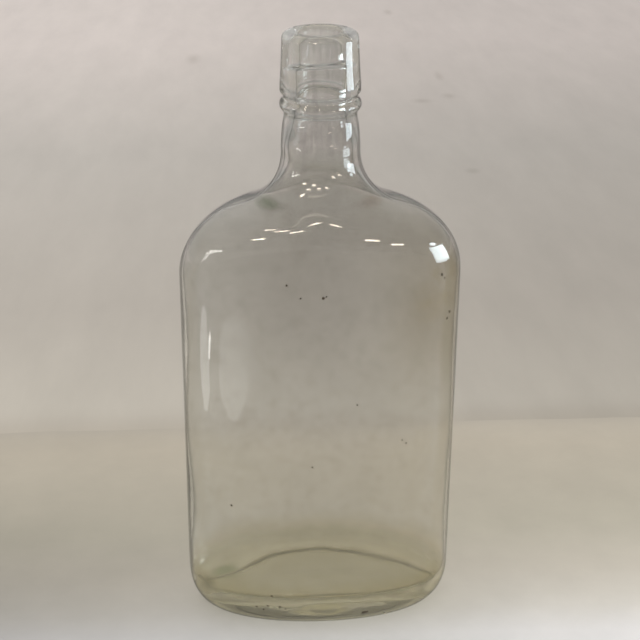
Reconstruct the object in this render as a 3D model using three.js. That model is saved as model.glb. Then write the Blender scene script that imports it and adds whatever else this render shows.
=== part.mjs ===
// Oval medicine flask in clear moulded glass: one closed body with an open mouth.
// Millimetres, +Z up. The origin is under the middle of the base, which rests on z = 0.
// X runs along the wide way of the oval and Y along the narrow way.

import * as THREE from 'three';

// Overall size
const HEIGHT = 216;
const BODY_HALF_WIDTH = 48.5;
const BODY_HALF_DEPTH = 26.5;
const BODY_POWER = 2.1; // superellipse exponent of the body's oval
const ROUND = 2; // exponent of a circle, used from the neck up

// Wall
const SIDE_WALL = 1.7;
const FACE_WALL = 2.6;

// Shoulder: the wide way starts to turn in lower down than the narrow way
const WIDE_TURN_Z = 132.1;
const WIDE_TURN_RADIUS = 26;
const WIDE_FLARE_RADIUS = 18.8;
const NARROW_TURN_Z = 146;
const NARROW_TURN_RADIUS = 23;
const NARROW_FLARE_RADIUS = 16;

// Neck and finish, as radii at heights
const NECK_Z = 176;
const NECK_RADIUS = 13.1;
const NECK_TOP_Z = 185.5;
const NECK_TOP_RADIUS = 12.6;
const GROOVE_Z = 188.2;
const GROOVE_RADIUS = 12.2;
const BEAD_Z = 192.1;
const BEAD_RADIUS = 13.6;
const BEAD_ROUND = 2.2;
const COLLAR_BOTTOM_Z = 195.2;
const COLLAR_RADIUS = 13.45;
const COLLAR_ROUND = 1.6;
const COLLAR_TOP_RADIUS = 12.65;
const LIP_OUTER_ROUND = 1.8;
const LIP_INNER_ROUND = 0.8;

// Bore: a parallel cork seat, a small ledge, then the wider neck
const MOUTH_RADIUS = 7;
const LEDGE_Z = 205.2;
const LEDGE_DROP = 0.9;
const BORE_RADIUS = 8.1;
const BORE_END_Z = 187;
const NECK_BORE_Z = 180;
const NECK_BORE_RADIUS = 9.8;

// Base: flat resting ring round a shallow push-up, and a thick floor inside
const HEEL_INSET = 10;
const HEEL_HEIGHT = 15;
const REST_RING = 3.6;
const PUSH_UP = 1.6;
const FLOOR_Z = 8.5;
const FLOOR_CROWN = 1;
const FLOOR_HALF_WIDTH = 42;
const FLOOR_HALF_DEPTH = 15;
const FLOOR_POWER = 1.6;
const FLOOR_HEEL_TOP_Z = 22;

// Mesh density
const SEGMENTS = 48;

const degrees = THREE.MathUtils.degToRad;

// Points [half, z] on an elliptical arc, which is a round one when both radii are given alike.
function arc(centreHalf, centreZ, radiusHalf, radiusZ, fromDegrees, toDegrees, steps) {
  const points = [];
  for (let i = 0; i <= steps; i += 1) {
    const angle = degrees(fromDegrees + ((toDegrees - fromDegrees) * i) / steps);
    points.push([
      centreHalf + radiusHalf * Math.cos(angle),
      centreZ + radiusZ * Math.sin(angle),
    ]);
  }
  return points;
}

// A wall that rises straight, bends in over the shoulder, runs on along the line that touches
// both bends and sweeps up into the neck. It gives the half-size at any height.
function shoulderCurve({ half, turnZ, turnRadius, neckHalf, neckZ, flareRadius }) {
  const turnCentre = half - turnRadius;
  const flareCentre = neckHalf + flareRadius;
  const across = flareCentre - turnCentre;
  const up = neckZ - turnZ;
  const apart = Math.hypot(across, up);
  const turn = Math.atan2(up, across) - Math.acos((turnRadius + flareRadius) / apart);
  const lineStartZ = turnZ + turnRadius * Math.sin(turn);
  const lineEndZ = neckZ - flareRadius * Math.sin(turn);
  const lineStartHalf = turnCentre + turnRadius * Math.cos(turn);
  const lineEndHalf = flareCentre - flareRadius * Math.cos(turn);

  function halfAt(z) {
    if (z <= turnZ) return half;
    if (z >= neckZ) return neckHalf;
    if (z < lineStartZ) return turnCentre + Math.sqrt(turnRadius ** 2 - (z - turnZ) ** 2);
    if (z > lineEndZ) return flareCentre - Math.sqrt(flareRadius ** 2 - (neckZ - z) ** 2);
    const along = (z - lineStartZ) / (lineEndZ - lineStartZ);
    return THREE.MathUtils.lerp(lineStartHalf, lineEndHalf, along);
  }

  // Heights evenly spaced round each bend, from the first above turnZ to the neck.
  function heights(bendSteps, flareSteps) {
    const list = [];
    for (let i = 1; i <= bendSteps; i += 1) {
      list.push(turnZ + turnRadius * Math.sin((turn * i) / bendSteps));
    }
    for (let i = flareSteps; i >= 0; i -= 1) {
      list.push(neckZ - flareRadius * Math.sin((turn * i) / flareSteps));
    }
    return list;
  }

  return { halfAt, heights };
}

function wideCurve(wall) {
  return shoulderCurve({
    half: BODY_HALF_WIDTH - wall,
    turnZ: WIDE_TURN_Z,
    turnRadius: WIDE_TURN_RADIUS - wall,
    neckHalf: NECK_RADIUS - wall,
    neckZ: NECK_Z,
    flareRadius: WIDE_FLARE_RADIUS + wall,
  });
}

function narrowCurve(faceWall, neckWall) {
  return shoulderCurve({
    half: BODY_HALF_DEPTH - faceWall,
    turnZ: NARROW_TURN_Z,
    turnRadius: NARROW_TURN_RADIUS - faceWall,
    neckHalf: NECK_RADIUS - neckWall,
    neckZ: NECK_Z,
    flareRadius: NARROW_FLARE_RADIUS + neckWall,
  });
}

function ring(halfWidth, halfDepth, z, power) {
  return { halfWidth, halfDepth, z, power };
}

// One ring for each height of the shoulder. The oval turns into a circle as it narrows.
function shoulderRings(wide, narrow) {
  const bodyHalf = wide.halfAt(0);
  const neckHalf = wide.halfAt(NECK_Z);
  return wide.heights(9, 6).map((z) => {
    const halfWidth = wide.halfAt(z);
    const narrowed = (bodyHalf - halfWidth) / (bodyHalf - neckHalf);
    const power = THREE.MathUtils.lerp(BODY_POWER, ROUND, narrowed);
    return ring(halfWidth, narrow.halfAt(z), z, power);
  });
}

// Underside: the push-up from near its middle out to the flat resting ring.
function undersideRings() {
  const innerHalfWidth = BODY_HALF_WIDTH - HEEL_INSET - REST_RING;
  const innerHalfDepth = BODY_HALF_DEPTH - HEEL_INSET - REST_RING;
  const rings = [];
  for (let i = 1; i <= 3; i += 1) {
    const out = i / 3;
    const z = PUSH_UP * (1 - out ** 2) ** 2;
    rings.push(ring(innerHalfWidth * out, innerHalfDepth * out, z, BODY_POWER));
  }
  return rings;
}

// Outside of the heel, from the resting ring's edge up to the straight wall.
function heelRings() {
  return arc(0, HEEL_HEIGHT, HEEL_INSET, HEEL_HEIGHT, -90, 0, 7).map(([out, z]) => {
    const inset = HEEL_INSET - out;
    return ring(BODY_HALF_WIDTH - inset, BODY_HALF_DEPTH - inset, z, BODY_POWER);
  });
}

// Neck, groove, bead, collar and the outer edge of the lip, all round.
function finishRings() {
  const lipZ = HEIGHT - LIP_OUTER_ROUND;
  const outline = [
    [NECK_TOP_RADIUS, NECK_TOP_Z],
    [GROOVE_RADIUS, GROOVE_Z],
    ...arc(BEAD_RADIUS - BEAD_ROUND, BEAD_Z, BEAD_ROUND, BEAD_ROUND, -62, 62, 5),
    [GROOVE_RADIUS, COLLAR_BOTTOM_Z - 0.5],
    ...arc(
      COLLAR_RADIUS - COLLAR_ROUND,
      COLLAR_BOTTOM_Z + COLLAR_ROUND,
      COLLAR_ROUND,
      COLLAR_ROUND,
      -68,
      0,
      3,
    ),
    ...arc(
      COLLAR_TOP_RADIUS - LIP_OUTER_ROUND,
      lipZ,
      LIP_OUTER_ROUND,
      LIP_OUTER_ROUND,
      0,
      90,
      4,
    ),
  ];
  return outline.map(([radius, z]) => ring(radius, radius, z, ROUND));
}

// Inner edge of the lip, cork seat, ledge and bore, from the mouth down.
function boreRings() {
  const edgeRadius = MOUTH_RADIUS + LIP_INNER_ROUND;
  const edgeZ = HEIGHT - LIP_INNER_ROUND;
  const outline = [
    ...arc(edgeRadius, edgeZ, LIP_INNER_ROUND, LIP_INNER_ROUND, 90, 180, 3),
    [MOUTH_RADIUS, LEDGE_Z],
    [BORE_RADIUS, LEDGE_Z - LEDGE_DROP],
    [BORE_RADIUS, BORE_END_Z],
    [NECK_BORE_RADIUS, NECK_BORE_Z],
  ];
  return outline.map(([radius, z]) => ring(radius, radius, z, ROUND));
}

// Inside of the shoulder and body, from the neck down to the top of the inner heel.
function chamberWallRings() {
  const wide = wideCurve(SIDE_WALL);
  const narrow = narrowCurve(FACE_WALL, SIDE_WALL);
  const rings = shoulderRings(wide, narrow).reverse();
  rings.push(ring(wide.halfAt(0), narrow.halfAt(0), WIDE_TURN_Z, BODY_POWER));
  return rings;
}

// Inner heel and floor: the oval closes to a pointed one, and the floor is crowned.
function floorRings() {
  const bodyHalfWidth = BODY_HALF_WIDTH - SIDE_WALL;
  const bodyHalfDepth = BODY_HALF_DEPTH - FACE_WALL;
  const heelHeight = FLOOR_HEEL_TOP_Z - FLOOR_Z;
  const rings = arc(0, FLOOR_HEEL_TOP_Z, 1, heelHeight, 0, -90, 6).map(([out, z]) => {
    return ring(
      THREE.MathUtils.lerp(FLOOR_HALF_WIDTH, bodyHalfWidth, out),
      THREE.MathUtils.lerp(FLOOR_HALF_DEPTH, bodyHalfDepth, out),
      z,
      THREE.MathUtils.lerp(FLOOR_POWER, BODY_POWER, out),
    );
  });
  for (let i = 2; i >= 1; i -= 1) {
    const out = i / 3;
    const z = FLOOR_Z + FLOOR_CROWN * (1 - out ** 2) ** 2;
    rings.push(ring(FLOOR_HALF_WIDTH * out, FLOOR_HALF_DEPTH * out, z, FLOOR_POWER));
  }
  return rings;
}

// A point on a ring's superellipse.
function ringPoint({ halfWidth, halfDepth, z, power }, turn) {
  const angle = 2 * Math.PI * turn;
  const cos = Math.cos(angle);
  const sin = Math.sin(angle);
  const x = halfWidth * Math.sign(cos) * Math.abs(cos) ** (2 / power);
  const y = halfDepth * Math.sign(sin) * Math.abs(sin) ** (2 / power);
  return [x, y, z];
}

// Skin over a chain of rings, closed at both ends by a point on the axis.
function skinRings(rings, startZ, endZ) {
  const positions = [];
  rings.forEach((oval) => {
    for (let i = 0; i < SEGMENTS; i += 1) {
      positions.push(...ringPoint(oval, i / SEGMENTS));
    }
  });
  const start = positions.length / 3;
  positions.push(0, 0, startZ);
  const end = start + 1;
  positions.push(0, 0, endZ);

  const faces = [];
  const lastRing = (rings.length - 1) * SEGMENTS;
  for (let i = 0; i < SEGMENTS; i += 1) {
    const next = (i + 1) % SEGMENTS;
    faces.push(start, next, i);
    for (let level = 0; level < lastRing; level += SEGMENTS) {
      const above = level + SEGMENTS;
      faces.push(level + i, level + next, above + next);
      faces.push(level + i, above + next, above + i);
    }
    faces.push(end, lastRing + i, lastRing + next);
  }

  const geometry = new THREE.BufferGeometry();
  geometry.setAttribute('position', new THREE.Float32BufferAttribute(positions, 3));
  geometry.setIndex(faces);
  geometry.computeVertexNormals();
  return geometry;
}

function clearGlass() {
  return new THREE.MeshStandardMaterial({
    color: 0xe4e2d0,
    roughness: 0.05,
    metalness: 0,
    transparent: true,
    opacity: 0.35,
  });
}

// The whole bottle: up the outside, over the lip and down the inside.
function makeBottle() {
  const outside = shoulderRings(wideCurve(0), narrowCurve(0, 0));
  const rings = [
    ...undersideRings(),
    ...heelRings(),
    ring(BODY_HALF_WIDTH, BODY_HALF_DEPTH, WIDE_TURN_Z, BODY_POWER),
    ...outside,
    ...finishRings(),
    ...boreRings(),
    ...chamberWallRings(),
    ...floorRings(),
  ];
  const bottle = new THREE.Mesh(
    skinRings(rings, PUSH_UP, FLOOR_Z + FLOOR_CROWN),
    clearGlass(),
  );
  bottle.name = 'glass_bottle';
  return bottle;
}

const flask = new THREE.Group();
flask.add(makeBottle());

export default flask;
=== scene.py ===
"""Clear oval medicine flask, standing open and empty on a pale surface.

Lengths in the shape functions are millimetres and become metres when a mesh is made. +Z is up and the
base rests on z = 0.
"""

import math
import random

import bpy
import numpy as np
from mathutils import Matrix, Vector


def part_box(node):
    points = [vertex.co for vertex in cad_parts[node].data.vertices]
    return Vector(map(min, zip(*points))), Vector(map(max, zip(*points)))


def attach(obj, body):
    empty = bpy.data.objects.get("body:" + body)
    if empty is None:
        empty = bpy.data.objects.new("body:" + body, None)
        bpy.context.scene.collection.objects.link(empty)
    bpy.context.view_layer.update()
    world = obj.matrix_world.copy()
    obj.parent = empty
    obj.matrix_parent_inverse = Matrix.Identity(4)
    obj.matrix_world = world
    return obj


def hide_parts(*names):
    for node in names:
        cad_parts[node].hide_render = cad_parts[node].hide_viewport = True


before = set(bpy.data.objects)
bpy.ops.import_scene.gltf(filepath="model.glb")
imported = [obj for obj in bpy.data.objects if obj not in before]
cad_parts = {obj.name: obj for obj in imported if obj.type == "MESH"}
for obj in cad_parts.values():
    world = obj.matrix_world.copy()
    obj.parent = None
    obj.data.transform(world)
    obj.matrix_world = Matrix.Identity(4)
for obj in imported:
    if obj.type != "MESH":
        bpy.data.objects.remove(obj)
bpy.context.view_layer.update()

MM = 0.001

# ---------------------------------------------------------------- sizes, millimetres
NODE = "glass_bottle"
BOX_LOW, BOX_HIGH = (Vector(c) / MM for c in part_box(NODE))
HEIGHT = BOX_HIGH.z
HALF_WIDTH = (BOX_HIGH.x - BOX_LOW.x) / 2
HALF_DEPTH = (BOX_HIGH.y - BOX_LOW.y) / 2
BODY_POWER = 2.1
ROUND = 2.0

SIDE_WALL = 1.4
FACE_WALL = 1.9
NECK_WALL = 2.2
NECK_WALL_START_Z = 160.0

WIDE_TURN_Z = 132.1
WIDE_TURN_R = 26.0
WIDE_FLARE_R = 18.8
NARROW_TURN_Z = 146.0
NARROW_TURN_R = 23.0
NARROW_FLARE_R = 16.0

NECK_Z = 176.0
NECK_R = 13.1
LEAN = 1.5  # how far the foot stands to the left of the shoulder's middle
LEAN_TOP_Z = 150.0

HEEL_INSET = 10.0
HEEL_HEIGHT = 15.0
REST_RING = 3.6
PUSH_UP = 1.0

FLOOR_Z = 8.5
FLOOR_HALF_WIDTH = 43.4
FLOOR_HALF_DEPTH = 17.4
FLOOR_POWER = 1.4
FLOOR_FRONT_POWER = 2.2
FLOOR_TOP_Z = 15.8
FLOOR_SAG = 3.4

LEDGE_SIDE_SLOPE = 0.07
LEDGE_FRONT_SLOPE = -0.235

# inner floor: reach of its front edge, how much narrower it is at the back left, drop of its back bend
FLOOR_FRONT_REACH = 0.92
FLOOR_BACK_LEFT_CUT = 0.4
FLOOR_BACK_BEND = 0.6

# upright mould seams: ridge, and the heights over which they start and end
SEAM_HEIGHT = 0.16
SEAM_HALF = 0.45
SEAM_START = (4, 12)
SEAM_END = (186, 189)

# slow unevenness of blown glass: random seed, size
OUTSIDE_WAVES = (7, 0.05)
BORE_WAVES = (11, 0.10)
CHAMBER_WAVES = (3, 0.28)

# how finely the surfaces are divided
COLUMNS = 224
UNDERSIDE_STEPS = 46
BODY_STEPS = 26
CHAMBER_STEPS = 30
FLOOR_STEPS = 20


# ---------------------------------------------------------------- profile curves
def arc(centre, z, r_half, r_z, start, end, steps):
    """Points (half, z) on an elliptical arc, angles in degrees."""
    out = []
    for i in range(steps + 1):
        a = math.radians(start + (end - start) * i / steps)
        out.append((centre + r_half * math.cos(a), z + r_z * math.sin(a)))
    return out


class ShoulderCurve:
    """Straight side, bend over the shoulder, the line touching both bends, and the flare into the neck."""

    def __init__(self, half, turn_z, turn_r, neck_half, neck_z, flare_r):
        self.half, self.turn_z, self.turn_r = half, turn_z, turn_r
        self.neck_half, self.neck_z, self.flare_r = neck_half, neck_z, flare_r
        self.turn_c = half - turn_r
        self.flare_c = neck_half + flare_r
        across, up = self.flare_c - self.turn_c, neck_z - turn_z
        self.turn = math.atan2(up, across) - math.acos(min(1.0, (turn_r + flare_r) / math.hypot(across, up)))
        self.line = (
            (self.turn_c + turn_r * math.cos(self.turn), turn_z + turn_r * math.sin(self.turn)),
            (self.flare_c - flare_r * math.cos(self.turn), neck_z - flare_r * math.sin(self.turn)),
        )

    def at(self, z):
        (h0, z0), (h1, z1) = self.line
        if z <= self.turn_z:
            return self.half
        if z >= self.neck_z:
            return self.neck_half
        if z < z0:
            return self.turn_c + math.sqrt(self.turn_r**2 - (z - self.turn_z) ** 2)
        if z > z1:
            return self.flare_c - math.sqrt(self.flare_r**2 - (self.neck_z - z) ** 2)
        return h0 + (h1 - h0) * (z - z0) / (z1 - z0)

    def heights(self, bend, line, flare):
        zs = [self.turn_z + self.turn_r * math.sin(self.turn * i / bend) for i in range(1, bend + 1)]
        (_, z0), (_, z1) = self.line
        zs += [z0 + (z1 - z0) * i / line for i in range(1, line)]
        zs += [self.neck_z - self.flare_r * math.sin(self.turn * i / flare) for i in range(flare, -1, -1)]
        return zs


def wide_curve(wall):
    return ShoulderCurve(
        HALF_WIDTH - wall, WIDE_TURN_Z, WIDE_TURN_R - wall, NECK_R - wall, NECK_Z, WIDE_FLARE_R + wall
    )


def narrow_curve(face, neck):
    return ShoulderCurve(
        HALF_DEPTH - face, NARROW_TURN_Z, NARROW_TURN_R - face, NECK_R - neck, NECK_Z, NARROW_FLARE_R + neck
    )


def lerp(a, b, t):
    return a + (b - a) * t


def smooth(a, b, x):
    t = min(1.0, max(0.0, (x - a) / (b - a)))
    return t * t * (3 - 2 * t)


def smooth_array(a, b, x):
    t = np.clip((x - a) / (b - a), 0, 1)
    return t * t * (3 - 2 * t)


# ---------------------------------------------------------------- rings: (half width, half depth, z, power)
def shoulder_rings(wide, narrow):
    rings = []
    for z in wide.heights(26, 5, 18):
        w = wide.at(z)
        t = (wide.half - w) / (wide.half - wide.neck_half)
        rings.append((w, narrow.at(z), z, lerp(BODY_POWER, ROUND, t)))
    return rings


def underside_rings():
    w, d = HALF_WIDTH - HEEL_INSET - REST_RING, HALF_DEPTH - HEEL_INSET - REST_RING
    rings = []
    for i in range(1, UNDERSIDE_STEPS + 1):
        out = i / UNDERSIDE_STEPS
        rings.append((w * out, d * out, PUSH_UP * (1 - out**2) ** 2, BODY_POWER))
    return rings


def heel_rings():
    rings = []
    for out, z in arc(0, HEEL_HEIGHT, HEEL_INSET, HEEL_HEIGHT, -90, 0, 18):
        inset = HEEL_INSET - out
        rings.append((HALF_WIDTH - inset, HALF_DEPTH - inset, z, BODY_POWER))
    return rings


def finish_outline():
    """Neck, groove, bead, collar and lip, from the neck up."""
    points = [(13.08, 178.0), (12.95, 180.5), (12.75, 183.0), (12.5, 185.4), (12.25, 187.2)]
    points += [(12.15, 188.4), (12.3, 189.4)]
    points += arc(11.35, 192.1, 2.25, 2.35, -52, 58, 10)
    points += [(12.35, 194.6), (12.5, 195.1)]
    points += arc(11.95, 197.0, 1.5, 1.6, -60, 0, 6)
    points += [(13.42, 198.6), (13.3, 200.2), (13.1, 203.0), (12.92, 206.5), (12.76, 210.0), (12.66, 212.6)]
    points += arc(9.55, 213.6, 3.08, 2.4, 6, 90, 12)
    return points


def bore_outline():
    """From the inner edge of the lip down to where the neck widens."""
    points = arc(9.2, 214.5, 2.2, 1.5, 90, 180, 9)
    points += [(6.98, 213.6), (6.95, 211.0), (6.95, 208.5), (7.0, 206.6), (7.05, 205.6)]
    points += [(7.3, 205.1), (7.8, 204.7), (8.15, 204.2), (8.25, 203.2)]
    points += [(8.2, 200.5), (8.05, 197.0), (8.0, 193.5), (8.1, 190.5), (8.35, 188.0)]
    points += [(8.75, 185.8), (9.4, 183.4), (10.1, 181.0), (10.7, 178.6)]
    return points


def chamber_rings():
    wide, narrow = wide_curve(SIDE_WALL), narrow_curve(FACE_WALL, NECK_WALL)
    rings = shoulder_rings(wide, narrow)
    # the neck's own wall is thicker than the shoulder's, and closes to it smoothly
    out = []
    for w, d, z, n in rings:
        thicker = (NECK_WALL - SIDE_WALL) * smooth(NECK_WALL_START_Z, NECK_Z, z)
        out.append((w - thicker, d, z, n))
    out.reverse()
    for i in range(CHAMBER_STEPS):
        z = lerp(WIDE_TURN_Z, FLOOR_TOP_Z, i / CHAMBER_STEPS)
        out.append((wide.half, narrow.half, z, BODY_POWER))
    return out


def floor_rings():
    """The wall slopes in, turns sharply on to the floor, and the floor runs to the middle."""
    w, d = HALF_WIDTH - SIDE_WALL, HALF_DEPTH - FACE_WALL
    # share of the way from the floor's edge out to the wall, and height
    slope = [(1.0, 15.8), (0.985, 14.8), (0.95, 13.6), (0.88, 12.4), (0.78, 11.4), (0.65, 10.5)]
    slope += [(0.5, 9.8), (0.35, 9.3), (0.22, 8.98), (0.12, 8.78), (0.04, 8.66)]
    slope += [(-0.05, 8.58), (-0.15, 8.53), (-0.27, 8.5)]
    rings = []
    for out, z in slope:
        power = lerp(FLOOR_POWER, BODY_POWER, max(0.0, out) ** 1.3)
        rings.append((lerp(FLOOR_HALF_WIDTH, w, out), lerp(FLOOR_HALF_DEPTH, d, out), z, power))
    inner_w, inner_d = rings[-1][:2]
    for i in range(FLOOR_STEPS - 1, 0, -1):
        rings.append((inner_w * i / FLOOR_STEPS, inner_d * i / FLOOR_STEPS, FLOOR_Z, FLOOR_POWER))
    return rings


# ---------------------------------------------------------------- surface detail
def column_angles():
    """Even columns, with a few close together at the two upright mould seams."""
    angles = [2 * math.pi * i / COLUMNS for i in range(COLUMNS)]
    close = [0.35, 0.7, 1.1]
    for seam in (0.0, math.pi):
        for c in close:
            for side in (-1, 1):
                angles.append((seam + side * c * 2 * math.pi / COLUMNS / 1.6) % (2 * math.pi))
    return np.array(sorted(set(round(a, 9) for a in angles)))


def ring_points(ring, cos, sin):
    w, d, z, n = ring
    x = w * np.sign(cos) * np.abs(cos) ** (2 / n)
    y = d * np.sign(sin) * np.abs(sin) ** (2 / n)
    return x, y, np.full_like(x, z)


def waves(angle, z, seed, size):
    """Slow unevenness of blown glass, from a few sine waves."""
    rng = random.Random(seed)
    total = np.zeros_like(angle)
    for k in range(1, 6):
        turns = rng.randint(1, 4)
        pitch = rng.uniform(28, 90)
        total += np.sin(turns * angle + z / pitch * 2 * math.pi + rng.uniform(0, 6.3)) / k
    return size * total / 2.3


def make_mesh(name, rings, angles, start_z, end_z, shape, ring_values):
    cos, sin = np.cos(angles), np.sin(angles)
    count = len(angles)
    verts = []
    for index, ring in enumerate(rings):
        x, y, z = ring_points(ring, cos, sin)
        x, y, z = shape(index, ring, x, y, z, angles)
        verts.append(np.stack([x, y, z], -1))
    verts = np.concatenate(verts)
    ends = np.array([[0, 0, start_z], [0, 0, end_z]], float)
    x, y, z = shape(0, rings[0], ends[:1, 0], ends[:1, 1], ends[:1, 2], np.zeros(1))
    ends[0] = x[0], y[0], z[0]
    x, y, z = shape(len(rings) - 1, rings[-1], ends[1:, 0], ends[1:, 1], ends[1:, 2], np.zeros(1))
    ends[1] = x[0], y[0], z[0]
    verts = np.concatenate([verts, ends])
    verts[:, 0] -= lean_at(verts[:, 2])
    faces = []
    first, last = len(verts) - 2, len(verts) - 1
    top = (len(rings) - 1) * count
    for i in range(count):
        j = (i + 1) % count
        faces.append((first, j, i))
        for level in range(0, top, count):
            faces.append((level + i, level + j, level + count + j, level + count + i))
        faces.append((last, top + i, top + j))
    mesh = bpy.data.meshes.new(name)
    mesh.from_pydata([tuple(v * MM) for v in verts], [], faces)
    mesh.update()
    mesh.shade_smooth()
    for key, values in ring_values.items():
        values = np.repeat(np.array(values + [values[0], values[-1]], float), [count] * len(rings) + [1, 1])
        mesh.attributes.new(key, "FLOAT", "POINT").data.foreach_set("value", values)
    return mesh


def uneven(ring, x, y, z, angles, waviness, share=1.0):
    """The ring made a little larger here and smaller there."""
    seed, size = waviness
    grow = waves(angles, z, seed, size) * share
    return x * (1 + grow / max(ring[0], 1)), y * (1 + grow / max(ring[1], 1))


def outside_detail(ring, x, y, z, angles):
    ridge = SEAM_HEIGHT * np.exp(-((np.minimum(np.abs(y), 20.0) / SEAM_HALF) ** 2))
    fade = smooth(*SEAM_START, ring[2]) * (1 - smooth(*SEAM_END, ring[2]))
    x = x + np.sign(x) * ridge * fade
    x, y = uneven(ring, x, y, z, angles, OUTSIDE_WAVES)
    return x, y, z


def bore_detail(ring, x, y, z, angles):
    """The ledge in the bore stands crooked."""
    near_ledge = smooth(199, 204, ring[2]) * (1 - smooth(206.5, 213, ring[2]))
    z = z + (LEDGE_SIDE_SLOPE * x + LEDGE_FRONT_SLOPE * y) * near_ledge
    x, y = uneven(ring, x, y, z, angles, BORE_WAVES, 1 - smooth(205, 211, ring[2]))
    return x, y, z


def floor_detail(ring, x, y, z, angles):
    """The inner floor is blunt in front, narrower at the back left, wavy, and sags towards its ends."""
    w, d, ring_z, _ = ring
    low = 1 - smooth(FLOOR_Z + 0.5, FLOOR_TOP_Z, ring_z)
    blunt = d * (1 - np.minimum(1, np.abs(x / w)) ** FLOOR_FRONT_POWER) ** (1 / FLOOR_FRONT_POWER)
    y = np.where(y < 0, lerp(y, -FLOOR_FRONT_REACH * blunt * np.minimum(1, -y / 0.01), low), y)
    y = np.where(y > 0, y * (1 - FLOOR_BACK_LEFT_CUT * low * smooth_array(16, 34, -x)), y)
    z = z - FLOOR_BACK_BEND * max(0.0, ring_z - FLOOR_Z) * smooth_array(0, 8, y)
    z = z + (floor_unevenness(x, y) - FLOOR_SAG * (x / FLOOR_HALF_WIDTH) ** 2) * low
    x, y = uneven(ring, x, y, z, angles, CHAMBER_WAVES, smooth(FLOOR_Z, FLOOR_TOP_Z, ring_z))
    return x, y, z


def residue_on(floor):
    """Dried residue for each floor ring: a film on the floor, darkest along its edge, where it also sets the
    painted shade in the crease, none up the wall.
    """
    values = []
    for _, d, _, _ in floor:
        spread = (d - FLOOR_HALF_DEPTH) / (HALF_DEPTH - FACE_WALL - FLOOR_HALF_DEPTH)
        values.append(lerp(0.52, 1.0, smooth(-0.35, 0.0, spread)) * (1 - smooth(0.12, 0.42, spread)))
    return values


def build_bottle(material):
    body = []
    for i in range(1, BODY_STEPS + 1):
        body.append((HALF_WIDTH, HALF_DEPTH, lerp(HEEL_HEIGHT, WIDE_TURN_Z, i / BODY_STEPS), BODY_POWER))
    under = underside_rings()
    outside = heel_rings() + body + shoulder_rings(wide_curve(0), narrow_curve(0, 0))
    outside += [(r, r, z, ROUND) for r, z in finish_outline()]
    bore = [(r, r, z, ROUND) for r, z in bore_outline()]
    chamber = chamber_rings()
    floor = floor_rings()
    rings = under + outside + bore + chamber + floor
    outside_start = len(under)
    bore_start = outside_start + len(outside)
    chamber_start = bore_start + len(bore)
    floor_start = chamber_start + len(chamber)

    def shape(index, ring, x, y, z, angles):
        if index < outside_start:
            return x, y, z + underside_marks(x, y)
        if index < bore_start:
            return outside_detail(ring, x, y, z, angles)
        if index < chamber_start:
            return bore_detail(ring, x, y, z, angles)
        if index < floor_start:
            x, y = uneven(ring, x, y, z, angles, CHAMBER_WAVES)
            return x, y, z
        return floor_detail(ring, x, y, z, angles)

    values = {
        "residue": [0.0] * floor_start + residue_on(floor),
        "outside": [1.0] * bore_start + [0.0] * (len(rings) - bore_start),
    }
    mesh = make_mesh("bottle_glass", rings, column_angles(), PUSH_UP, FLOOR_Z, shape, values)
    piece = bpy.data.objects.new("bottle_glass", mesh)
    bpy.context.collection.objects.link(piece)
    mesh.materials.append(material)
    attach(piece, "root")
    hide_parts(NODE)
    return piece


def lean_at(z):
    """How far the foot's lean moves a height to the left."""
    return LEAN * np.clip((LEAN_TOP_Z - z) / LEAN_TOP_Z, 0, 1)


def on_front(x, z):
    """The point on the front of the outside, at this place across and this height."""
    heel = heel_rings()
    half_width, half_depth = wide_curve(0).at(z), narrow_curve(0, 0).at(z)
    if z < HEEL_HEIGHT:
        heights = [ring[2] for ring in heel]
        half_width = np.interp(z, heights, [ring[0] for ring in heel])
        half_depth = np.interp(z, heights, [ring[1] for ring in heel])
    share = abs(x + lean_at(z)) / half_width
    return Vector((x, -half_depth * (1 - share**BODY_POWER) ** (1 / BODY_POWER), z))


# mould marks under the base: centre and radius of the round valve mark, and centres of the raised dots
VALVE_MARK = (17.0, -8.0)
VALVE_RADIUS = 4.4
DOTS = [(-20.5, -11.0), (-17.6, -11.6), (-14.7, -11.2), (-11.8, -11.7), (-19.0, -8.9), (-13.2, -9.2)]
DOTS += [(26.4, -9.5), (28.6, -8.6)]


def underside_marks(x, y):
    """Shallow round mould-valve mark, off centre, and a short row of small raised dots on each side of it."""
    r = np.hypot(x - VALVE_MARK[0], y - VALVE_MARK[1])
    out = 0.07 * np.exp(-(((r - VALVE_RADIUS) / 0.9) ** 2))
    for cx, cy in DOTS:
        out -= 0.2 * np.exp(-(((x - cx) ** 2 + (y - cy) ** 2) / 0.7**2))
    return out


def floor_unevenness(x, y):
    """Settled, wavy inner floor, with a small dip in front left of the middle and a rise right of it."""
    rise = 0.8 * np.exp(-(((x - 10) / 16) ** 2 + ((y + 17) / 6) ** 2))
    dip = -0.6 * np.exp(-(((x + 11) / 5) ** 2 + ((y + 17) / 5) ** 2))
    ripple = 0.10 * np.sin(x * 0.31 + 1.1) * np.cos(y * 0.33) + 0.05 * np.sin(x * 0.53 + y * 0.4)
    return rise + dip + ripple


# ---------------------------------------------------------------- materials
def new_material(name):
    mat = bpy.data.materials.new(name)
    mat.use_nodes = True
    tree = mat.node_tree
    return mat, tree, tree.nodes["Principled BSDF"], tree.nodes["Material Output"]


def node(tree, kind, **values):
    n = tree.nodes.new(kind)
    for key, value in values.items():
        setattr(n, key, value)
    return n


def noise(tree, coord, scale, detail=3.0, rough=0.5, distortion=0.0):
    n = node(tree, "ShaderNodeTexNoise")
    n.inputs["Scale"].default_value = scale
    n.inputs["Detail"].default_value = detail
    n.inputs["Roughness"].default_value = rough
    n.inputs["Distortion"].default_value = distortion
    tree.links.new(coord, n.inputs["Vector"])
    return n.outputs["Fac"]


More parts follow.
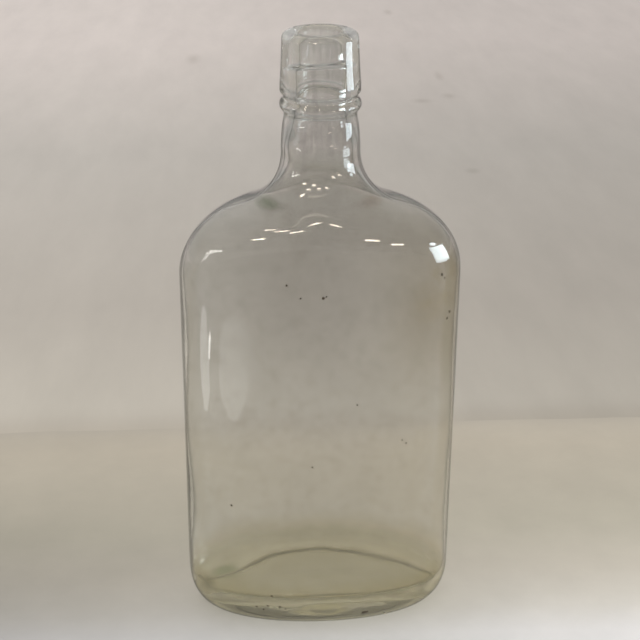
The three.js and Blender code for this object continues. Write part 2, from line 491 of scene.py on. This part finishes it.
def ramp(tree, value, stops):
    n = node(tree, "ShaderNodeValToRGB")
    elements = n.color_ramp.elements
    while len(elements) < len(stops):
        elements.new(0.5)
    for element, (position, colour) in zip(elements, stops):
        element.position = position
        element.color = (*colour, 1.0) if len(colour) == 3 else colour
    tree.links.new(value, n.inputs["Fac"])
    return n.outputs["Color"]


def ramp_along(tree, length, stops):
    """A colour by length. The length is in metres and the stops are in millimetres."""
    start, end = stops[0][0] * MM, stops[-1][0] * MM
    share = maths(tree, "DIVIDE", maths(tree, "SUBTRACT", length, start), end - start)
    return ramp(tree, share, [((at * MM - start) / (end - start), colour) for at, colour in stops])


def grey(v):
    return (v, v, v)


def maths(tree, operation, a, b):
    n = node(tree, "ShaderNodeMath", operation=operation)
    for socket, value in zip(n.inputs, (a, b)):
        if isinstance(value, (int, float)):
            socket.default_value = value
        else:
            tree.links.new(value, socket)
    return n.outputs[0]


# colour of the glass by height, millimetres: a straw stain low down, then greyer up the body, most at the
# shoulder, and paler in the neck
GLASS_COLOURS = [
    (3, (0.70, 0.66, 0.475)),
    (9, (0.835, 0.80, 0.655)),
    (18, (0.975, 0.97, 0.95)),
    (70, (0.93, 0.93, 0.91)),
    (120, (0.86, 0.86, 0.845)),
    (180, (0.85, 0.855, 0.845)),
    (200, (0.93, 0.94, 0.935)),
]
LEFT_TINT = (0.95, 0.945, 0.94)
RIGHT_TINT = (0.99, 0.98, 0.955)
STREAK_TINT = (0.90, 0.90, 0.88)
GRIME_TINT = (0.93, 0.925, 0.91)
DRAWN_LINE_TINT = (0.87, 0.855, 0.87)
# painted shade on the glass where it is seen on edge, and a stronger painted outline
PAINTED_EDGE_SHADE = (0.17, 0.18, 0.165)
PAINTED_OUTLINE_SHADE = (0.25, 0.25, 0.25)
RESIDUE_COLOUR = (0.37, 0.325, 0.185, 1.0)
# the residue's darker rim, which is also painted shade in the crease at the floor's edge
RESIDUE_RIM_AND_CREASE_SHADE = (0.55, 0.56, 0.52)
SPECK_COLOUR = (0.10, 0.075, 0.045, 1.0)

REFRACTION = 1.5
DEPTH_COLOUR = (0.66, 0.68, 0.58, 1.0)
DEPTH_DENSITY = 6.0
SHADOW_COLOUR = (0.92, 0.92, 0.905, 1.0)

# broad tints: centre, half sizes, colour
BROAD_TINTS = [
    ((46, 0, 116), (36, 60, 34), (0.92, 0.90, 0.85)),
    ((-2, 0, 132), (38, 60, 60), (0.93, 0.925, 0.92)),
]

# brown mottling on the right shoulder: centre, half sizes, colour
MOTTLING = ((41, -12, 129), (16, 18, 17), (0.94, 0.90, 0.80))

# heights in metres over which the neck's drawn lines come in, and the painted edge shade goes out on the lip
NECK_LINES = (0.160, 0.185)
LIP_FADE = (0.2165, 0.2115)

# share of light that dust and fine scratches scatter, by height in millimetres: in the heel, on the
# walls and on the lip
HAZE = [
    (0, grey(0.22)),
    (9, grey(0.22)),
    (16, grey(0.03)),
    (208.75, grey(0.03)),
    (213, grey(0.10)),
]

# worn places: the lip's two ends scatter light, and a rubbed patch on the left of the front is less glossy
LIP_ENDS = [((-10.4, -1, 215), (4.2, 9, 4.5)), ((10.4, -1, 215), (4.2, 9, 4.5))]
LIP_END_HAZE = 0.42
RUBBED = ((-27, -22, 112), (15, 12, 24))
RUBBED_ROUGHNESS = 0.22

# small dark inclusions and dirt specks on the front of the outside: across, height, radius in millimetres
SPECKS = [
    # right shoulder
    (40.0, 136.5, 0.55),
    (41.0, 135.0, 0.3),
    (43.5, 121.5, 0.45),
    (42.5, 119.5, 0.5),
    # middle, at the shoulder
    (-0.5, 133.5, 0.5),
    (0.5, 134.0, 0.3),
    (-8.0, 133.5, 0.3),
    (-12.5, 138.0, 0.35),
    # front wall
    (11.0, 93.5, 0.3),
    (28.5, 76.0, 0.3),
    (27.0, 77.5, 0.25),
    (-4.5, 70.0, 0.3),
    (-33.0, 52.0, 0.4),
    # heel, left
    (-25.0, 10.5, 0.5),
    (-22.5, 9.5, 0.4),
    (-21.0, 11.5, 0.45),
    (-16.5, 11.5, 0.5),
    (-14.5, 10.5, 0.35),
    (-19.5, 16.0, 0.45),
    # heel, right
    (14.0, 7.0, 0.8),
    (15.0, 7.0, 0.75),
    (22.0, 4.5, 0.45),
    (24.5, 4.0, 0.5),
    (27.0, 4.0, 0.4),
]

# stains: centre, half sizes, colour
SMUDGES = [
    ((-19.5, -9.0, 160.6), (15.0, 10.0, 1.7), (0.50, 0.55, 0.46)),
    ((19.0, -10.0, 161.4), (14.0, 10.0, 2.0), (0.86, 0.81, 0.77)),
    ((-36.0, 6.0, 6.5), (7.0, 6.0, 2.6), (0.40, 0.48, 0.30)),
    ((-43.0, -2.0, 6.5), (3.4, 8.0, 3.4), (0.10, 0.11, 0.08)),
]


def spots(tree, coord, places):
    total = None
    for x, z, radius in places:
        gap = node(tree, "ShaderNodeVectorMath", operation="DISTANCE")
        tree.links.new(coord, gap.inputs[0])
        gap.inputs[1].default_value = on_front(x, z) * MM
        inside = maths(tree, "LESS_THAN", gap.outputs["Value"], radius * MM)
        total = inside if total is None else maths(tree, "MAXIMUM", total, inside)
    return total


def patch(tree, coord, centre, size, edge=0.5):
    """Soft oval mask: 1 in the middle, 0 outside. Sizes are the half lengths in millimetres."""
    shift = node(tree, "ShaderNodeVectorMath", operation="SUBTRACT")
    tree.links.new(coord, shift.inputs[0])
    shift.inputs[1].default_value = tuple(c * MM for c in centre)
    scale = node(tree, "ShaderNodeVectorMath", operation="DIVIDE")
    tree.links.new(shift.outputs["Vector"], scale.inputs[0])
    scale.inputs[1].default_value = tuple(c * MM for c in size)
    length = node(tree, "ShaderNodeVectorMath", operation="LENGTH")
    tree.links.new(scale.outputs["Vector"], length.inputs[0])
    return span(tree, length.outputs["Value"], 1.0, 1.0 - edge)


def span(tree, value, start, end):
    """0 at start, 1 at end, smooth between."""
    n = node(tree, "ShaderNodeMapRange", interpolation_type="SMOOTHSTEP")
    n.inputs["From Min"].default_value = start
    n.inputs["From Max"].default_value = end
    tree.links.new(value, n.inputs["Value"])
    return n.outputs["Result"]


def tinted(tree, base, mask, colour):
    """The base multiplied by a colour where the mask is 1."""
    n = node(tree, "ShaderNodeMix", data_type="RGBA", blend_type="MULTIPLY")
    tree.links.new(mask, n.inputs["Factor"])
    tree.links.new(base, n.inputs["A"])
    n.inputs["B"].default_value = (*colour, 1.0)
    return n.outputs["Result"]


def mixed(tree, base, mask, colour):
    """The base covered by a colour where the mask is 1."""
    n = node(tree, "ShaderNodeMix", data_type="RGBA")
    n.inputs["B"].default_value = colour
    tree.links.new(mask, n.inputs["Factor"])
    tree.links.new(base, n.inputs["A"])
    return n.outputs["Result"]


def times(tree, a, b):
    return maths(tree, "MULTIPLY", a, b)


def film_colour(tree, coord, height, across, film, blotch):
    """The glass's own colour with its film, tints, mottling, grime, drawn lines and stains."""
    colour = ramp_along(tree, maths(tree, "SUBTRACT", height, times(tree, blotch, 0.008)), GLASS_COLOURS)
    side = maths(tree, "ADD", across, times(tree, maths(tree, "SUBTRACT", blotch, 0.5), 0.03))
    colour = tinted(tree, colour, span(tree, side, -0.045, 0.0), LEFT_TINT)
    colour = tinted(tree, colour, span(tree, side, 0.0, 0.045), RIGHT_TINT)
    for centre, size, tint in BROAD_TINTS:
        colour = tinted(tree, colour, patch(tree, coord, centre, size, 0.8), tint)
    centre, size, tint = MOTTLING
    mottled = times(tree, patch(tree, coord, centre, size), span(tree, blotch, 0.46, 0.66))
    colour = tinted(tree, colour, mottled, tint)
    streaks = times(tree, span(tree, film, 0.5, 0.75), 0.6)
    colour = tinted(tree, colour, streaks, STREAK_TINT)
    grime = span(tree, noise(tree, coord, scale=210, detail=5, rough=0.7), 0.48, 0.72)
    colour = tinted(tree, colour, grime, GRIME_TINT)
    drawn = node(tree, "ShaderNodeVectorMath", operation="MULTIPLY")
    tree.links.new(coord, drawn.inputs[0])
    drawn.inputs[1].default_value = (1, 1, 0.06)
    lines = span(tree, noise(tree, drawn.outputs["Vector"], scale=420, detail=2), 0.5, 0.64)
    colour = tinted(tree, colour, times(tree, lines, span(tree, height, *NECK_LINES)), DRAWN_LINE_TINT)
    for centre, size, tint in SMUDGES:
        broken = times(tree, patch(tree, coord, centre, size, 0.7), span(tree, blotch, 0.30, 0.5))
        colour = tinted(tree, colour, broken, tint)
    return colour


def paint_edge_shade(tree, colour, height, across):
    """Painted shade: the glass is made darkest where it is seen on edge, most of all outside on the left and
    in the neck.
    """
    facing = node(tree, "ShaderNodeLayerWeight")
    facing.inputs["Blend"].default_value = 0.5
    edge = span(tree, facing.outputs["Facing"], 0.65, 0.82)
    edge = times(tree, edge, span(tree, height, *LIP_FADE))
    colour = tinted(tree, colour, edge, PAINTED_EDGE_SHADE)
    outside = node(tree, "ShaderNodeAttribute", attribute_name="outside").outputs["Fac"]
    strong = maths(tree, "MAXIMUM", span(tree, across, 0.0, -0.02), span(tree, height, 0.155, 0.17))
    return tinted(tree, colour, times(tree, times(tree, edge, outside), strong), PAINTED_OUTLINE_SHADE)


def glass_normal(tree, coord):
    """Slow lumps with a fine ripple on them."""
    slow = noise(tree, coord, scale=30, detail=2, rough=0.45)
    ripple = noise(tree, coord, scale=160, detail=2)
    bump = node(tree, "ShaderNodeBump")
    bump.inputs["Strength"].default_value = 0.25
    bump.inputs["Distance"].default_value = 0.0012
    tree.links.new(maths(tree, "ADD", slow, times(tree, ripple, 0.10)), bump.inputs["Height"])
    return bump.outputs["Normal"]


def glass_material():
    mat, tree, bsdf, out = new_material("clear_glass")
    links = tree.links
    coord = node(tree, "ShaderNodeTexCoord").outputs["Object"]
    bsdf.inputs["IOR"].default_value = REFRACTION
    split = node(tree, "ShaderNodeSeparateXYZ")
    links.new(coord, split.inputs["Vector"])
    height, across = split.outputs["Z"], split.outputs["X"]
    film = noise(tree, coord, scale=26, detail=5, rough=0.62, distortion=0.4)
    blotch = noise(tree, coord, scale=48, detail=6, rough=0.7, distortion=0.8)
    marks = spots(tree, coord, SPECKS)

    colour = film_colour(tree, coord, height, across, film, blotch)
    colour = paint_edge_shade(tree, colour, height, across)
    residue = node(tree, "ShaderNodeAttribute", attribute_name="residue").outputs["Fac"]
    cover = times(tree, residue, maths(tree, "ADD", 0.6, times(tree, blotch, 0.8)))
    colour = mixed(tree, colour, maths(tree, "MINIMUM", cover, 1.0), RESIDUE_COLOUR)
    # the residue's rim, which is also painted shade in the crease where the floor turns up into the wall
    rim_and_crease_shade = times(tree, span(tree, residue, 0.8, 1.0), span(tree, blotch, 0.25, 0.5))
    colour = tinted(tree, colour, rim_and_crease_shade, RESIDUE_RIM_AND_CREASE_SHADE)
    colour = mixed(tree, colour, marks, SPECK_COLOUR)
    links.new(colour, bsdf.inputs["Base Color"])

    # clear, but for a little dust everywhere and more where the bottle stands and is handled
    dusty = times(tree, ramp_along(tree, height, HAZE), maths(tree, "ADD", 0.5, film))
    haze = maths(tree, "ADD", dusty, times(tree, cover, 0.24))
    for centre, size in LIP_ENDS:
        haze = maths(tree, "ADD", haze, times(tree, patch(tree, coord, centre, size), LIP_END_HAZE))
    clear = times(tree, maths(tree, "SUBTRACT", 1.0, marks), maths(tree, "SUBTRACT", 1.0, haze))
    links.new(clear, bsdf.inputs["Transmission Weight"])
    film_rough = ramp(tree, film, [(0.45, grey(0.0)), (0.62, grey(0.006)), (0.8, grey(0.03))])
    rough = maths(tree, "ADD", film_rough, times(tree, marks, 0.6))
    centre, size = RUBBED
    rubbed = times(tree, patch(tree, coord, centre, size, 1.0), RUBBED_ROUGHNESS)
    links.new(maths(tree, "ADD", rough, rubbed), bsdf.inputs["Roughness"])
    links.new(glass_normal(tree, coord), bsdf.inputs["Normal"])

    volume = node(tree, "ShaderNodeVolumeAbsorption")
    volume.inputs["Color"].default_value = DEPTH_COLOUR
    volume.inputs["Density"].default_value = DEPTH_DENSITY
    links.new(volume.outputs["Volume"], out.inputs["Volume"])

    # light on its way to the floor and back goes straight through, so the bottle's shadow stays pale
    path = node(tree, "ShaderNodeLightPath")
    through = node(tree, "ShaderNodeBsdfTransparent")
    through.inputs["Color"].default_value = SHADOW_COLOUR
    choose = node(tree, "ShaderNodeMixShader")
    soft = maths(tree, "MAXIMUM", path.outputs["Is Shadow Ray"], path.outputs["Is Diffuse Ray"])
    links.new(soft, choose.inputs["Fac"])
    links.new(bsdf.outputs["BSDF"], choose.inputs[1])
    links.new(through.outputs["BSDF"], choose.inputs[2])
    links.new(choose.outputs["Shader"], out.inputs["Surface"])
    return mat


# the surface's colour by distance behind the bottle's middle, millimetres: a pale band in front that is a
# painted pool of light, a warmer middle, a darker line behind the bottle that is a painted shadow line where
# the far part begins, a painted shadow further back, and a far part that grows paler
SURFACE_COLOURS_AND_PAINTED_LIGHT = [
    (-750, (0.60, 0.585, 0.56)),
    (-150, (0.62, 0.605, 0.58)),
    (-70, (0.71, 0.70, 0.695)),
    (-26, (0.745, 0.74, 0.745)),
    (-5, (0.595, 0.57, 0.52)),
    (18, (0.53, 0.495, 0.43)),
    (50, (0.485, 0.455, 0.378)),
    (120, (0.54, 0.49, 0.405)),
    (137, (0.52, 0.475, 0.40)),
    (142, (0.485, 0.445, 0.385)),
    (160, (0.54, 0.505, 0.445)),
    (286, (0.485, 0.45, 0.405)),
    (578, (0.53, 0.50, 0.465)),
    (953, (0.72, 0.66, 0.63)),
    (1250, (0.76, 0.70, 0.67)),
]
FAR_PART = 0.14  # metres behind the bottle
FAR_STRETCH = 0.72

# scuffs far behind the bottle: centre, half sizes
SCUFFS = [
    ((125, 1085, 0), (7, 22, 9)),
    ((145, 800, 0), (6, 26, 9)),
    ((120, 715, 0), (13, 11, 9)),
    ((145, 730, 0), (9, 14, 9)),
    ((-80, 880, 0), (10, 30, 9)),
    ((135, 520, 0), (8, 10, 9)),
]
SCUFF_TINT = (0.87, 0.86, 0.85)


def surface_mottle(tree, x, y, far):
    """Blotches, drawn out away from the bottle in the far part."""
    drawn = node(tree, "ShaderNodeCombineXYZ")
    tree.links.new(x, drawn.inputs["X"])
    stretch = maths(tree, "SUBTRACT", 1.0, times(tree, far, FAR_STRETCH))
    tree.links.new(times(tree, y, stretch), drawn.inputs["Y"])
    blotches = noise(tree, drawn.outputs["Vector"], scale=34, detail=7, rough=0.62)
    return ramp(tree, blotches, [(0.3, grey(0.95)), (0.7, grey(1.035))])


def left_to_right(tree, x):
    """-1 on the left of the bottle, 1 on its right."""
    n = node(tree, "ShaderNodeMapRange")
    n.inputs["From Min"].default_value = -0.15
    n.inputs["From Max"].default_value = 0.15
    n.inputs["To Min"].default_value = -1.0
    n.inputs["To Max"].default_value = 1.0
    tree.links.new(x, n.inputs["Value"])
    return n.outputs["Result"]


def floor_material():
    """Pale painted board, with painted light and shade on it."""
    mat, tree, bsdf, _ = new_material("pale_surface")
    links = tree.links
    coord = node(tree, "ShaderNodeTexCoord").outputs["Object"]
    split = node(tree, "ShaderNodeSeparateXYZ")
    links.new(coord, split.inputs["Vector"])
    wander = times(tree, noise(tree, coord, scale=14), 0.008)
    along = maths(tree, "ADD", split.outputs["Y"], wander)
    far = maths(tree, "GREATER_THAN", along, FAR_PART)
    near = span(tree, along, 0.10, -0.02)
    # painted light and shade: the near part is paler on the right, the far part on the left
    lean = maths(tree, "SUBTRACT", 0.04, times(tree, far, 0.115))
    lean = maths(tree, "ADD", lean, times(tree, near, 0.32))
    painted_side_light = maths(tree, "ADD", 1.0, times(tree, left_to_right(tree, split.outputs["X"]), lean))
    mottle = surface_mottle(tree, split.outputs["X"], split.outputs["Y"], far)
    # the mottle is multiplied by the painted side light
    mottle = times(tree, mottle, painted_side_light)
    base = ramp_along(tree, along, SURFACE_COLOURS_AND_PAINTED_LIGHT)
    for centre, size in SCUFFS:
        base = tinted(tree, base, patch(tree, coord, centre, size, 1.0), SCUFF_TINT)
    mix = node(tree, "ShaderNodeMix", data_type="RGBA", blend_type="MULTIPLY")
    mix.inputs["Factor"].default_value = 1.0
    links.new(base, mix.inputs["A"])
    links.new(mottle, mix.inputs["B"])
    links.new(mix.outputs["Result"], bsdf.inputs["Base Color"])
    bsdf.inputs["Roughness"].default_value = 0.8
    bump = node(tree, "ShaderNodeBump")
    bump.inputs["Strength"].default_value = 0.15
    bump.inputs["Distance"].default_value = 0.0005
    links.new(noise(tree, coord, scale=220, rough=0.6), bump.inputs["Height"])
    links.new(bump.outputs["Normal"], bsdf.inputs["Normal"])
    return mat


# ---------------------------------------------------------------- stage, light, camera
BOARD_HALF = 14.0
BOARD_DROP = 0.0003


def build_floor():
    half = BOARD_HALF
    corners = [(-half, -half, 0), (half, -half, 0), (half, half, 0), (-half, half, 0)]
    mesh = bpy.data.meshes.new("floor")
    mesh.from_pydata(corners, [], [(0, 1, 2, 3)])
    mesh.materials.append(floor_material())
    floor = bpy.data.objects.new("floor", mesh)
    floor.location.z = -BOARD_DROP
    bpy.context.collection.objects.link(floor)


# places and sizes of the lights are in metres; most of them aim at the bottle's middle
MIDDLE = Vector((0, 0, 0.12))
DAYLIGHT = (0.80, 0.93, 1.0)
LAMPLIGHT = (1.0, 0.88, 0.72)
PALE = (1.0, 0.98, 0.94)
SHEEN = (1.0, 0.99, 0.97)

# the room's lamps, high in front: azimuth and elevation in degrees
LAMPS = [(-60, 52), (-49, 31), (-39, 45), (-21, 37), (-8, 46), (17, 43), (35, 20), (52, 14)]
LAMP_AWAY = 2.4
LAMP_SIZE = (0.38, 0.075)
LAMP_RADIANCE = 32

# spots on the glass where a small card is mirrored, and the card's distance from them
STREAK_SPOT = Vector((-0.0385, -0.017, 0.114))
LEFT_SHEEN_SPOT = Vector((-0.040, -0.016, 0.105))
FRONT_SHEEN_SPOT = Vector((-0.030, -0.021, 0.105))
CARD_AWAY = 0.19


def area_light(name, place, aim, size, radiance, colour, shape="RECTANGLE"):
    """A lamp of the given size and radiance that is seen in the glass and doesn't light the floor."""
    data = bpy.data.lights.new(name, "AREA")
    data.shape = shape
    data.size, data.size_y = size
    data.energy = radiance * size[0] * size[1] * math.pi
    data.color = colour
    light = bpy.data.objects.new(name, data)
    light.location = place
    light.rotation_euler = (Vector(aim) - Vector(place)).to_track_quat("-Z", "Y").to_euler()
    light.visible_camera = False
    light.visible_diffuse = False
    bpy.context.collection.objects.link(light)
    return light


def lights_floor_only(light):
    light.visible_glossy = light.visible_transmission = False
    light.visible_diffuse = True


def soft_sun(name, energy, angle, colour):
    """Even light from the whole upper sky, so the surface is as bright far off as it is close by."""
    data = bpy.data.lights.new(name, "SUN")
    data.energy = energy
    data.angle = math.radians(angle)
    data.color = colour
    light = bpy.data.objects.new(name, data)
    light.location.z = 2.0
    bpy.context.collection.objects.link(light)
    return light


def pointing(azimuth, elevation):
    """Unit direction. Azimuth 0 is in front of the bottle (-Y) and 90 to its right (+X)."""
    a, e = math.radians(azimuth), math.radians(elevation)
    return Vector((math.sin(a) * math.cos(e), -math.cos(a) * math.cos(e), math.sin(e)))


def build_lights():
    overhead = area_light("overhead", (-0.35, 0.30, 1.35), (0, 0.25, 0), (1.3, 1.3), 1.13, (1.0, 0.98, 0.955))
    lights_floor_only(overhead)
    lights_floor_only(soft_sun("soft_fill", 1.45, 110, (1.0, 0.98, 0.96)))
    area_light("pale_ceiling", (0, 0.85, 1.3), (0, 0, 0.02), (0.9, 0.5), 0.7, (1.0, 0.93, 0.78))

    # a window on the right, and its arched top
    area_light("window", (0.60, 0.01, 0.152), (0, 0.01, 0.152), (0.27, 0.145), 9, DAYLIGHT)
    area_light("window_top", (0.60, -0.02, 0.262), (0, -0.02, 0.262), (0.10, 0.05), 8, DAYLIGHT, "ELLIPSE")

    # a bright streak, a window frame and two soft sheens on the left
    place = STREAK_SPOT + pointing(-71, -24.2) * CARD_AWAY
    area_light("left_streak", place, STREAK_SPOT, (0.008, 0.012), 9, (1.0, 0.99, 0.96))
    area_light("left_bar", pointing(-78, 13.7) * 1.5 + MIDDLE, MIDDLE, (0.5, 0.04), 12, PALE)
    area_light("left_post", pointing(-84, 9.0) * 1.5 + MIDDLE, MIDDLE, (0.05, 0.26), 8, PALE)
    place = LEFT_SHEEN_SPOT + pointing(-80, -24.5) * CARD_AWAY
    left_sheen = area_light("left_sheen", place, LEFT_SHEEN_SPOT, (0.05, 0.05), 1.5, SHEEN, "ELLIPSE")
    left_sheen.visible_transmission = False
    place = FRONT_SHEEN_SPOT + pointing(-47, -25) * CARD_AWAY
    front_sheen = area_light("front_sheen", place, FRONT_SHEEN_SPOT, (0.09, 0.05), 0.9, SHEEN, "ELLIPSE")
    front_sheen.visible_transmission = False

    for i, (azimuth, elevation) in enumerate(LAMPS):
        place = pointing(azimuth, elevation) * LAMP_AWAY + MIDDLE
        area_light(f"lamp_{i}", place, MIDDLE, LAMP_SIZE, LAMP_RADIANCE, LAMPLIGHT)
    area_light("lit_ceiling", pointing(-15, 60) * 2.5 + MIDDLE, MIDDLE, (1.4, 0.12), 1.6, LAMPLIGHT)


# the room around, from the dim part in front to the pale part behind
ROOM_COLOURS = [
    (0.0, (0.15, 0.148, 0.145)),
    (0.68, (0.17, 0.167, 0.16)),
    (0.84, (0.38, 0.37, 0.35)),
    (0.96, (0.48, 0.465, 0.44)),
]


def build_world():
    """Pale low down and behind the bottle, dimmer high up in front of it, where the room is."""
    world = bpy.data.worlds.new("studio")
    world.use_nodes = True
    tree = world.node_tree
    background = tree.nodes["Background"]
    coord = node(tree, "ShaderNodeTexCoord").outputs["Generated"]
    split = node(tree, "ShaderNodeSeparateXYZ")
    tree.links.new(coord, split.inputs["Vector"])
    low = span(tree, split.outputs["Z"], 0.42, 0.12)
    backward = maths(tree, "ADD", times(tree, split.outputs["Y"], 0.5), 0.5)
    level = maths(tree, "MAXIMUM", backward, times(tree, low, 0.88))
    tree.links.new(ramp(tree, level, ROOM_COLOURS), background.inputs["Color"])
    background.inputs["Strength"].default_value = 1.0
    bpy.context.scene.world = world


# the camera's place and tilt, in millimetres and degrees
CAMERA_AWAY = 451.4
CAMERA_HEIGHT = 313.5
CAMERA_AROUND = -2.68
CAMERA_TILT = 23.84
CAMERA_ROLL = -0.22
CAMERA_YAW = 0.053
CAMERA_LENS = 79.1


def build_camera():
    around, tilt, roll = (math.radians(v) for v in (CAMERA_AROUND, CAMERA_TILT, CAMERA_ROLL))
    place = Vector((math.sin(around) * CAMERA_AWAY, -math.cos(around) * CAMERA_AWAY, CAMERA_HEIGHT)) * MM
    facing = around + math.radians(CAMERA_YAW)
    forward = Vector((-math.sin(facing) * math.cos(tilt), math.cos(facing) * math.cos(tilt), -math.sin(tilt)))
    level = Vector((math.cos(facing), math.sin(facing), 0))
    up = level.cross(forward)
    right = level * math.cos(roll) + up * math.sin(roll)
    up = up * math.cos(roll) - level * math.sin(roll)
    data = bpy.data.cameras.new("camera")
    data.sensor_width = 36.0
    data.lens = CAMERA_LENS
    data.clip_start = 0.01
    camera = bpy.data.objects.new("camera", data)
    turn = Matrix((right, up, -forward)).transposed()
    camera.matrix_world = Matrix.Translation(place) @ turn.to_4x4()
    bpy.context.collection.objects.link(camera)
    bpy.context.scene.camera = camera


build_camera()
build_bottle(glass_material())
build_floor()
build_lights()
build_world()

scene = bpy.context.scene
scene.view_settings.view_transform = "Standard"
scene.cycles.max_bounces = 32
scene.cycles.transmission_bounces = 32
scene.cycles.glossy_bounces = 12
scene.cycles.caustics_reflective = False
scene.cycles.caustics_refractive = False
